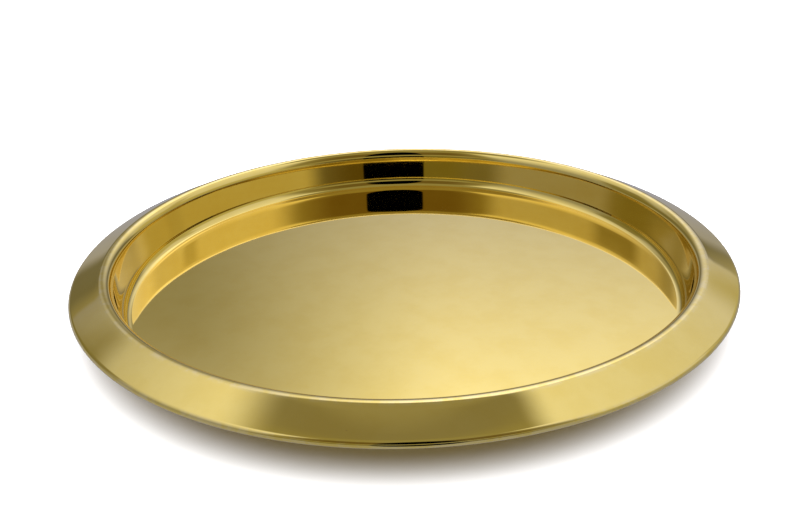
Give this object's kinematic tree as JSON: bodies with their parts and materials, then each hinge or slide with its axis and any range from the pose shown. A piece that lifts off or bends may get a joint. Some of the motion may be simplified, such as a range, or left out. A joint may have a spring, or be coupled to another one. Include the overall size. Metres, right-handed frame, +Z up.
{
  "type": "offering plate",
  "caption": "Round shallow metal offering plate with a flat floor, steep wall, rounded crest and a broad brim that slopes down and out to an edge rolled round a wire.",
  "frame": {"origin": "centre of the underside of the floor, on the plate's axis, where the plate stands", "axes": "+Z up along the plate's axis of symmetry; +X and +Y are level and interchangeable"},
  "size_m": [0.3174, 0.3174, 0.0237],
  "materials": {
    "polished_brass": "mirror polished, clear lacquered",
    "wire_steel": "drawn wire, dull"
  },
  "bodies": {
    "root": {"plate": "polished_brass", "rim_wire": "wire_steel"}
  },
  "joints": []
}
